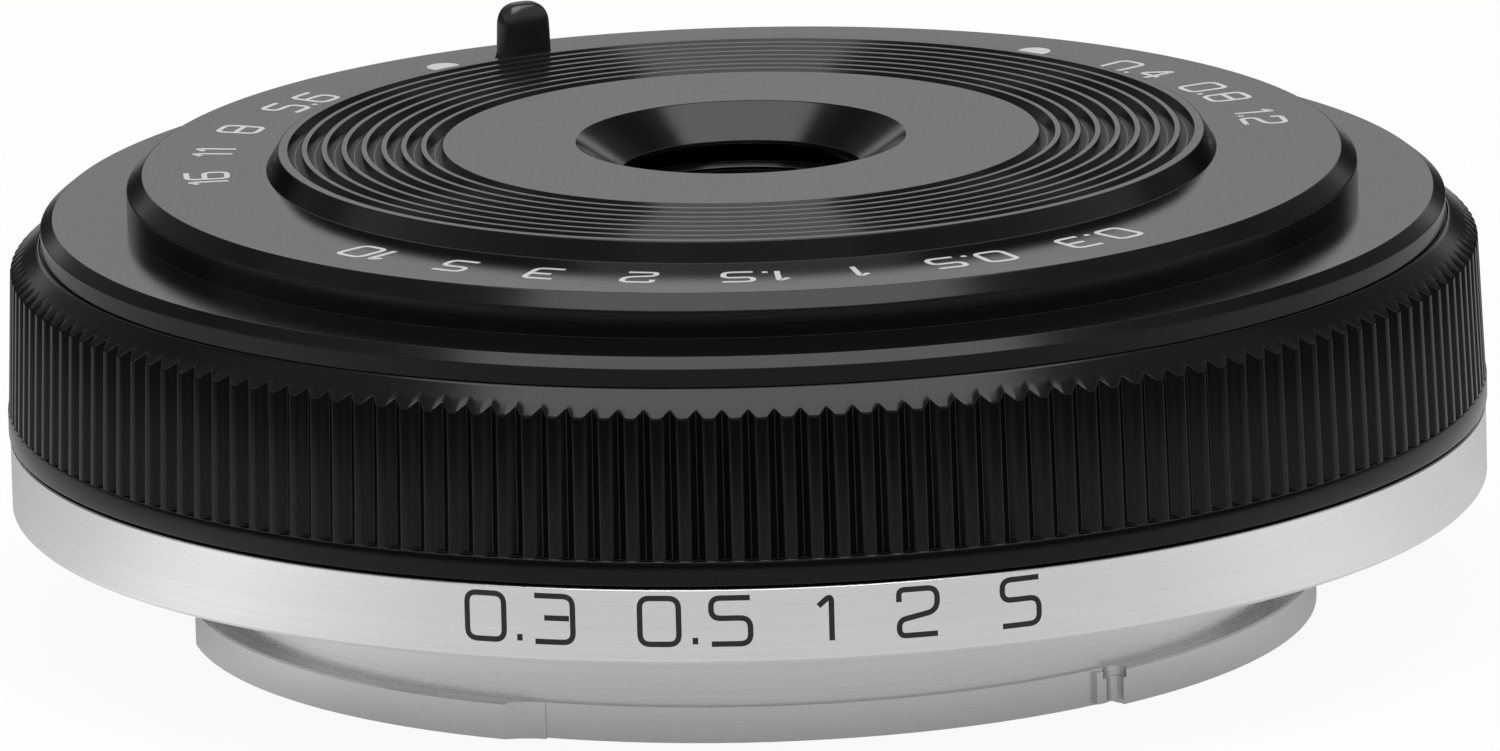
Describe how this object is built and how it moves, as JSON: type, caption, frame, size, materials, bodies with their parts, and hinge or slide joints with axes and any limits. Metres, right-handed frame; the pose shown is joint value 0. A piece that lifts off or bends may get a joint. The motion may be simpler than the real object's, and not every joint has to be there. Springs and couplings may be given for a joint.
{
  "type": "slim autofocus prime camera lens",
  "caption": "Slim round autofocus prime lens with a ridged black grip, silver bayonet mount, grooved front disc and a lever that turns the built-in front cover.",
  "frame": {"origin": "centre of the mount flange face, on the optical axis", "axes": "+Z along the optical axis out of the front, +Y towards the side with the cover lever"},
  "size_m": [0.0602, 0.0602, 0.0215],
  "materials": {
    "black_anodised": "fine bead-blasted black anodised",
    "silver_metal": "fine turned satin silver",
    "mount_metal": "satin plated mount metal",
    "black_plastic": "matte moulded black",
    "lever_black": "semi-gloss black",
    "blade_black": "matte black paint",
    "steel": "plain machined",
    "brass": "plain",
    "copper": "enamelled copper wire",
    "gold": "gold plated",
    "magnet": "nickel plated magnet",
    "board": "solder mask",
    "flex": "polyimide film",
    "glass": "polished, coated"
  },
  "bodies": {
    "lens_body": {"bayonet_mount": "mount_metal", "mount_screws": "steel", "mount_shim": "brass", "silver_ring": "silver_metal", "chassis": "black_plastic", "grip_ring": "black_anodised", "front_barrel": "black_anodised", "name_ring": "black_anodised", "grooved_front_disc": "black_anodised", "cover_pivot_posts": "steel", "cover_base_plate": "black_plastic", "cover_detent_spring": "steel", "spring_screw": "steel", "base_plate_screws": "steel", "front_lens_cell": "black_plastic", "cell_screws": "steel", "front_retaining_ring": "black_anodised", "front_lens_element": "glass", "front_spacer": "black_plastic", "second_lens_element": "glass", "aperture_stop": "blade_black", "third_lens_element": "glass", "middle_spacer": "black_plastic", "fourth_lens_element": "glass", "cell_retaining_ring": "black_anodised", "coil_magnets": "magnet", "magnet_yokes": "steel", "guide_rods": "steel", "position_sensor": "black_plastic", "rear_lens_frame": "black_plastic", "rear_frame_screws": "steel", "rear_lens_element": "glass", "rear_retaining_ring": "black_anodised", "main_board": "board", "processor_chip": "black_plastic", "board_screws": "steel", "contact_flex": "flex", "contact_block": "black_plastic", "contact_pins": "gold", "usb_socket": "steel", "usb_board": "board", "rear_baffle": "black_plastic", "baffle_screws": "steel"},
    "cover_drive": {"cover_drive_ring": "steel", "cover_drive_pins": "steel", "cover_lever": "lever_black", "lever_screw": "steel"},
    "lower_blade": {"cover_blade_lower": "blade_black"},
    "upper_blade": {"cover_blade_upper": "blade_black"},
    "focus_group": {"focus_lens_element": "glass", "focus_frame": "black_plastic", "focus_coils": "copper", "position_magnet": "magnet"}
  },
  "joints": [
    {"name": "cover_lever_turn", "type": "hinge", "parent": "lens_body", "child": "cover_drive", "pos_m": [0, 0, 0.012], "axis": [0, 0, 1], "range_deg": [-52, 0]},
    {"name": "lower_blade_swing", "type": "hinge", "parent": "lens_body", "child": "lower_blade", "pos_m": [0, -0.0122, 0.0125], "axis": [0, 0, 1], "range_deg": [-26, 0]},
    {"name": "upper_blade_swing", "type": "hinge", "parent": "lens_body", "child": "upper_blade", "pos_m": [0, 0.0122, 0.0127], "axis": [0, 0, 1], "range_deg": [-26, 0]},
    {"name": "focus_slide", "type": "slide", "parent": "lens_body", "child": "focus_group", "axis": [0, 0, 1], "range_m": [0, 0.0013]}
  ],
  "couplings": [
    {"joint": "lower_blade_swing", "follows": "cover_lever_turn", "ratio": 0.5},
    {"joint": "upper_blade_swing", "follows": "cover_lever_turn", "ratio": 0.5}
  ]
}
